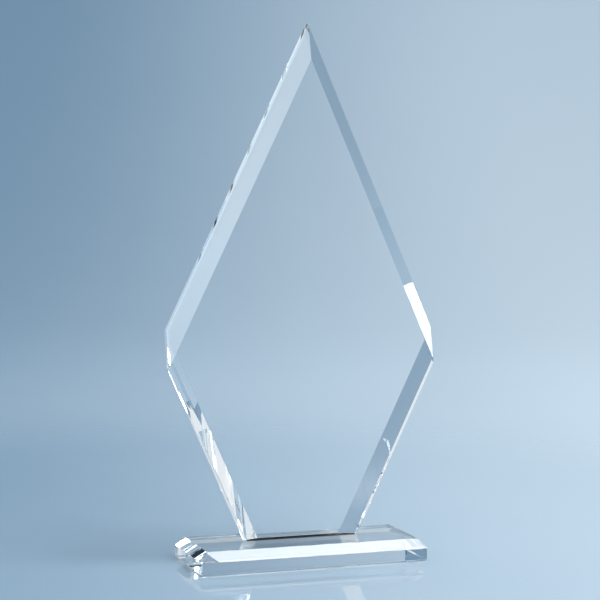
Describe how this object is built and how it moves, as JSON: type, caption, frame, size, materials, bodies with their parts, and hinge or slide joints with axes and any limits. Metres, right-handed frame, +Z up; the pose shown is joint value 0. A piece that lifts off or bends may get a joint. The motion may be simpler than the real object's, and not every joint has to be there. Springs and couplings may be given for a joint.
{
  "type": "crystal award",
  "caption": "Free-standing clear crystal award: an upright kite-shaped plate with bevelled edges, bonded to a flat rectangular crystal base with a bevelled top.",
  "frame": {"origin": "centre of the underside of the base", "axes": "+Z up, from the base to the tip of the plate; +X along the length of the base; -Y the front, the side that carries the upper bevels"},
  "size_m": [0.16, 0.049, 0.3016],
  "materials": {
    "crystal": "polished",
    "clear_resin": "polished"
  },
  "bodies": {
    "root": {"crystal_base": "crystal", "adhesive_film": "clear_resin", "crystal_plate": "crystal"}
  },
  "joints": []
}
